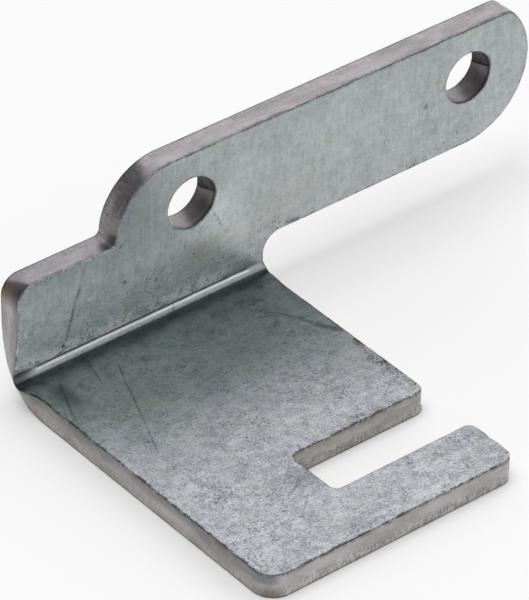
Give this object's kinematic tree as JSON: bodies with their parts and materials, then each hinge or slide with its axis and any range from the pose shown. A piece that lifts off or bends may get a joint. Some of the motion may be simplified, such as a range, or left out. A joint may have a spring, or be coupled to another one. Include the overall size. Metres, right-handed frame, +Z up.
{
  "type": "gearbox mounting plate",
  "caption": "Punched steel plate folded once: a flat base with an open slot, and an upright that runs on as an arm with bolt holes.",
  "frame": {"origin": "on the underside of the base, below the middle of the whole plate's box", "axes": "+X along the arm, from the upright's shoulder to the arm's round end; +Y from the base's front edge to the upright; +Z up, off the base"},
  "size_m": [0.092, 0.058, 0.0291],
  "materials": {
    "zinc_coated_steel": "dull zinc-coated faces with fine speckle and scratches, bare sheared edges"
  },
  "bodies": {
    "root": {"mounting_plate": "zinc_coated_steel"}
  },
  "joints": []
}
